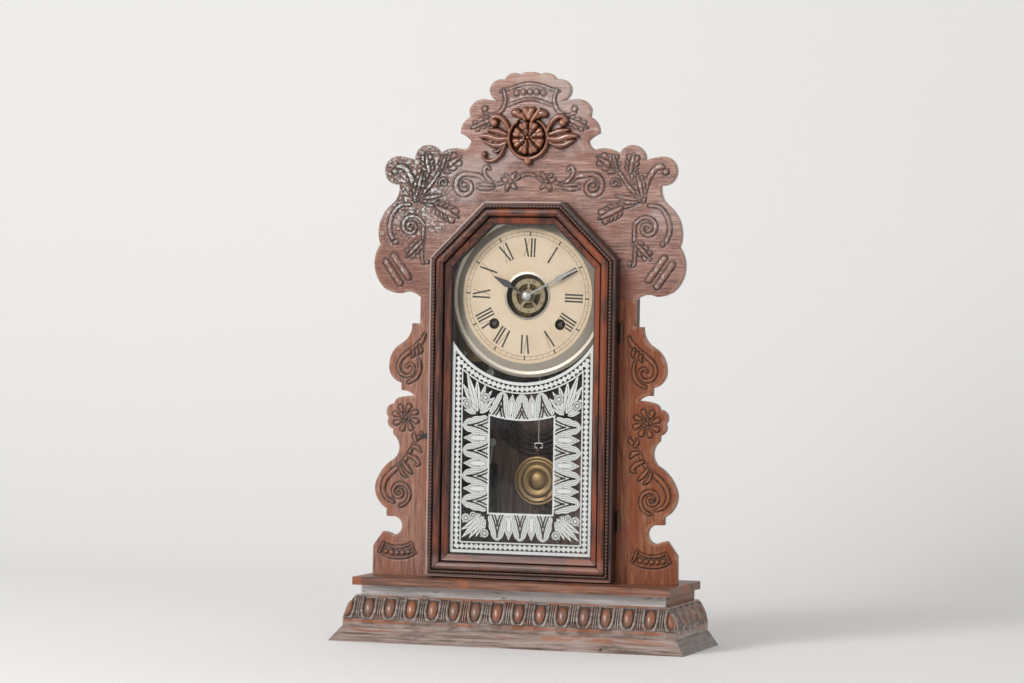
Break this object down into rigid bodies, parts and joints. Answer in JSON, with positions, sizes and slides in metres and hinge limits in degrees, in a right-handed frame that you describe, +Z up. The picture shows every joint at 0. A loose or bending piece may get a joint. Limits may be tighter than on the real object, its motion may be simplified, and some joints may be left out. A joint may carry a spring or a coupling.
{
  "type": "table clock",
  "caption": "Carved-look wooden table clock with a hinged glazed door, round dial with alarm disc, pendulum, gong and spring movement.",
  "frame": {"origin": "middle of the base's underside, on the surface that the clock stands on", "axes": "+Z up, +X to the right seen from the front, the dial faces -Y"},
  "size_m": [0.37, 0.136, 0.5743],
  "materials": {
    "wood_front": "aged varnish",
    "wood_base": "worn varnish",
    "wood_case": "plain",
    "wood_door": "aged varnish",
    "glass": "clear, stencilled border",
    "paper": "aged print",
    "dial_metal": "dull",
    "brass": "aged",
    "steel": "satin",
    "blued_steel": "black",
    "iron": "black"
  },
  "bodies": {
    "case": {"crest_board": "wood_front", "wing_left": "wood_front", "wing_right": "wood_front", "crest_rosette": "wood_front", "base_top_board": "wood_base", "base_frieze_front": "wood_base", "base_frieze_sides": "wood_base", "egg_moulding_front": "wood_base", "egg_moulding_sides": "wood_base", "plinth_front": "wood_base", "plinth_sides": "wood_base", "base_back_rail": "wood_base", "case_sides": "wood_case", "case_top": "wood_case", "back_board": "wood_case", "dial_strips": "wood_case", "dial_paper": "paper", "dial_pan": "dial_metal", "dial_eyelet": "dial_metal", "hinge_leaves_case": "brass", "hinge_pins": "brass", "front_plate": "brass", "back_plate": "brass", "suspension_cock": "brass", "alarm_frame": "brass", "pillars": "steel", "mainsprings": "steel", "gong_coil": "steel", "gong_block": "iron"},
    "door": {"door_stile_left": "wood_door", "door_stile_right": "wood_door", "door_rail_bottom": "wood_door", "door_rail_top": "wood_door", "door_diagonals": "wood_door", "door_glass": "glass", "glass_beads": "wood_case", "hinge_leaves_door": "brass"},
    "catch": {"door_catch": "brass"},
    "minute": {"centre_arbor": "steel", "minute_hand": "blued_steel", "hand_nut": "steel"},
    "hour": {"hour_wheel": "brass", "hour_hand": "blued_steel"},
    "pendulum": {"pendulum_rod": "steel", "pendulum_bob": "brass"},
    "minute_wheel": {"minute_wheel": "brass"},
    "alarm_disc": {"alarm_disc": "brass"},
    "time_winder": {"time_winder": "steel"},
    "strike_winder": {"strike_winder": "steel"},
    "centre_wheel": {"centre_wheel": "brass"},
    "third_wheel": {"third_wheel": "brass"},
    "escape_wheel": {"escape_wheel": "brass"},
    "time_great_wheel": {"time_great_wheel": "brass"},
    "strike_great_wheel": {"strike_great_wheel": "brass"},
    "pin_wheel": {"pin_wheel": "brass"},
    "fly": {"fly": "brass"},
    "strike_hammer": {"strike_hammer": "steel"},
    "verge": {"verge": "steel"},
    "alarm_winder": {"alarm_winder": "steel"},
    "alarm_hammer": {"alarm_hammer": "steel"}
  },
  "joints": [
    {"name": "door_swing", "type": "hinge", "parent": "case", "child": "door", "pos_m": [0.0998, -0.0092, 0.22], "axis": [0, 0, 1], "range_deg": [0, 100]},
    {"name": "catch_turn", "type": "hinge", "parent": "case", "child": "catch", "pos_m": [-0.1035, 0.02, 0.206], "axis": [0, 1, 0], "range_deg": [0, 180]},
    {"name": "minute_turn", "type": "hinge", "parent": "case", "child": "minute", "pos_m": [0, 0.02, 0.3493], "axis": [0, 1, 0], "continuous": true},
    {"name": "minute_wheel_turn", "type": "hinge", "parent": "case", "child": "minute_wheel", "pos_m": [0, 0.02, 0.3333], "axis": [0, 1, 0], "continuous": true},
    {"name": "hour_turn", "type": "hinge", "parent": "case", "child": "hour", "pos_m": [0, 0.02, 0.3493], "axis": [0, 1, 0], "continuous": true},
    {"name": "alarm_set", "type": "hinge", "parent": "case", "child": "alarm_disc", "pos_m": [0, 0.02, 0.3493], "axis": [0, 1, 0], "continuous": true},
    {"name": "time_winding", "type": "hinge", "parent": "case", "child": "time_winder", "pos_m": [0.0347, 0.02, 0.321], "axis": [0, 1, 0], "continuous": true},
    {"name": "strike_winding", "type": "hinge", "parent": "case", "child": "strike_winder", "pos_m": [-0.0347, 0.02, 0.321], "axis": [0, 1, 0], "continuous": true},
    {"name": "third_turn", "type": "hinge", "parent": "case", "child": "third_wheel", "pos_m": [0.01948, 0.02, 0.37085], "axis": [0, 1, 0], "continuous": true},
    {"name": "centre_turn", "type": "hinge", "parent": "case", "child": "centre_wheel", "pos_m": [0, 0.02, 0.3493], "axis": [0, 1, 0], "continuous": true},
    {"name": "time_great_turn", "type": "hinge", "parent": "case", "child": "time_great_wheel", "pos_m": [0.0347, 0.02, 0.321], "axis": [0, 1, 0], "continuous": true},
    {"name": "escape_turn", "type": "hinge", "parent": "case", "child": "escape_wheel", "pos_m": [0, 0.02, 0.3873], "axis": [0, 1, 0], "continuous": true},
    {"name": "pin_wheel_turn", "type": "hinge", "parent": "case", "child": "pin_wheel", "pos_m": [-0.04247, 0.02, 0.3651], "axis": [0, 1, 0], "continuous": true},
    {"name": "strike_great_turn", "type": "hinge", "parent": "case", "child": "strike_great_wheel", "pos_m": [-0.0347, 0.02, 0.321], "axis": [0, 1, 0], "continuous": true},
    {"name": "fly_turn", "type": "hinge", "parent": "case", "child": "fly", "pos_m": [-0.03422, 0.02, 0.37939], "axis": [0, 1, 0], "continuous": true},
    {"name": "hammer_lift", "type": "hinge", "parent": "case", "child": "strike_hammer", "pos_m": [-0.066, 0.02, 0.358], "axis": [0, 1, 0], "range_deg": [0, 6], "stiffness_Nm_per_rad": 0.01, "springref_deg": -17.19},
    {"name": "pendulum_swing", "type": "hinge", "parent": "case", "child": "pendulum", "pos_m": [0, 0.02, 0.4083], "axis": [0, 1, 0], "range_deg": [-4, 4]},
    {"name": "verge_rock", "type": "hinge", "parent": "case", "child": "verge", "pos_m": [0, 0.02, 0.4083], "axis": [0, 1, 0], "range_deg": [-4, 4]},
    {"name": "alarm_winding", "type": "hinge", "parent": "case", "child": "alarm_winder", "pos_m": [-0.065, 0.02, 0.1305], "axis": [0, 1, 0], "continuous": true},
    {"name": "alarm_hammer_lift", "type": "hinge", "parent": "case", "child": "alarm_hammer", "pos_m": [-0.056, 0.02, 0.17], "axis": [0, 1, 0], "range_deg": [-12, 0]}
  ],
  "couplings": [
    {"joint": "minute_wheel_turn", "follows": "minute_turn", "ratio": -0.33333},
    {"joint": "hour_turn", "follows": "minute_turn", "ratio": 0.083333},
    {"joint": "third_turn", "follows": "escape_turn", "ratio": -0.089744},
    {"joint": "centre_turn", "follows": "escape_turn", "ratio": 0.0082659},
    {"joint": "time_great_turn", "follows": "escape_turn", "ratio": -0.00068882},
    {"joint": "pin_wheel_turn", "follows": "fly_turn", "ratio": -0.1},
    {"joint": "strike_great_turn", "follows": "fly_turn", "ratio": 0.0083333},
    {"joint": "verge_rock", "follows": "pendulum_swing", "ratio": 1}
  ]
}
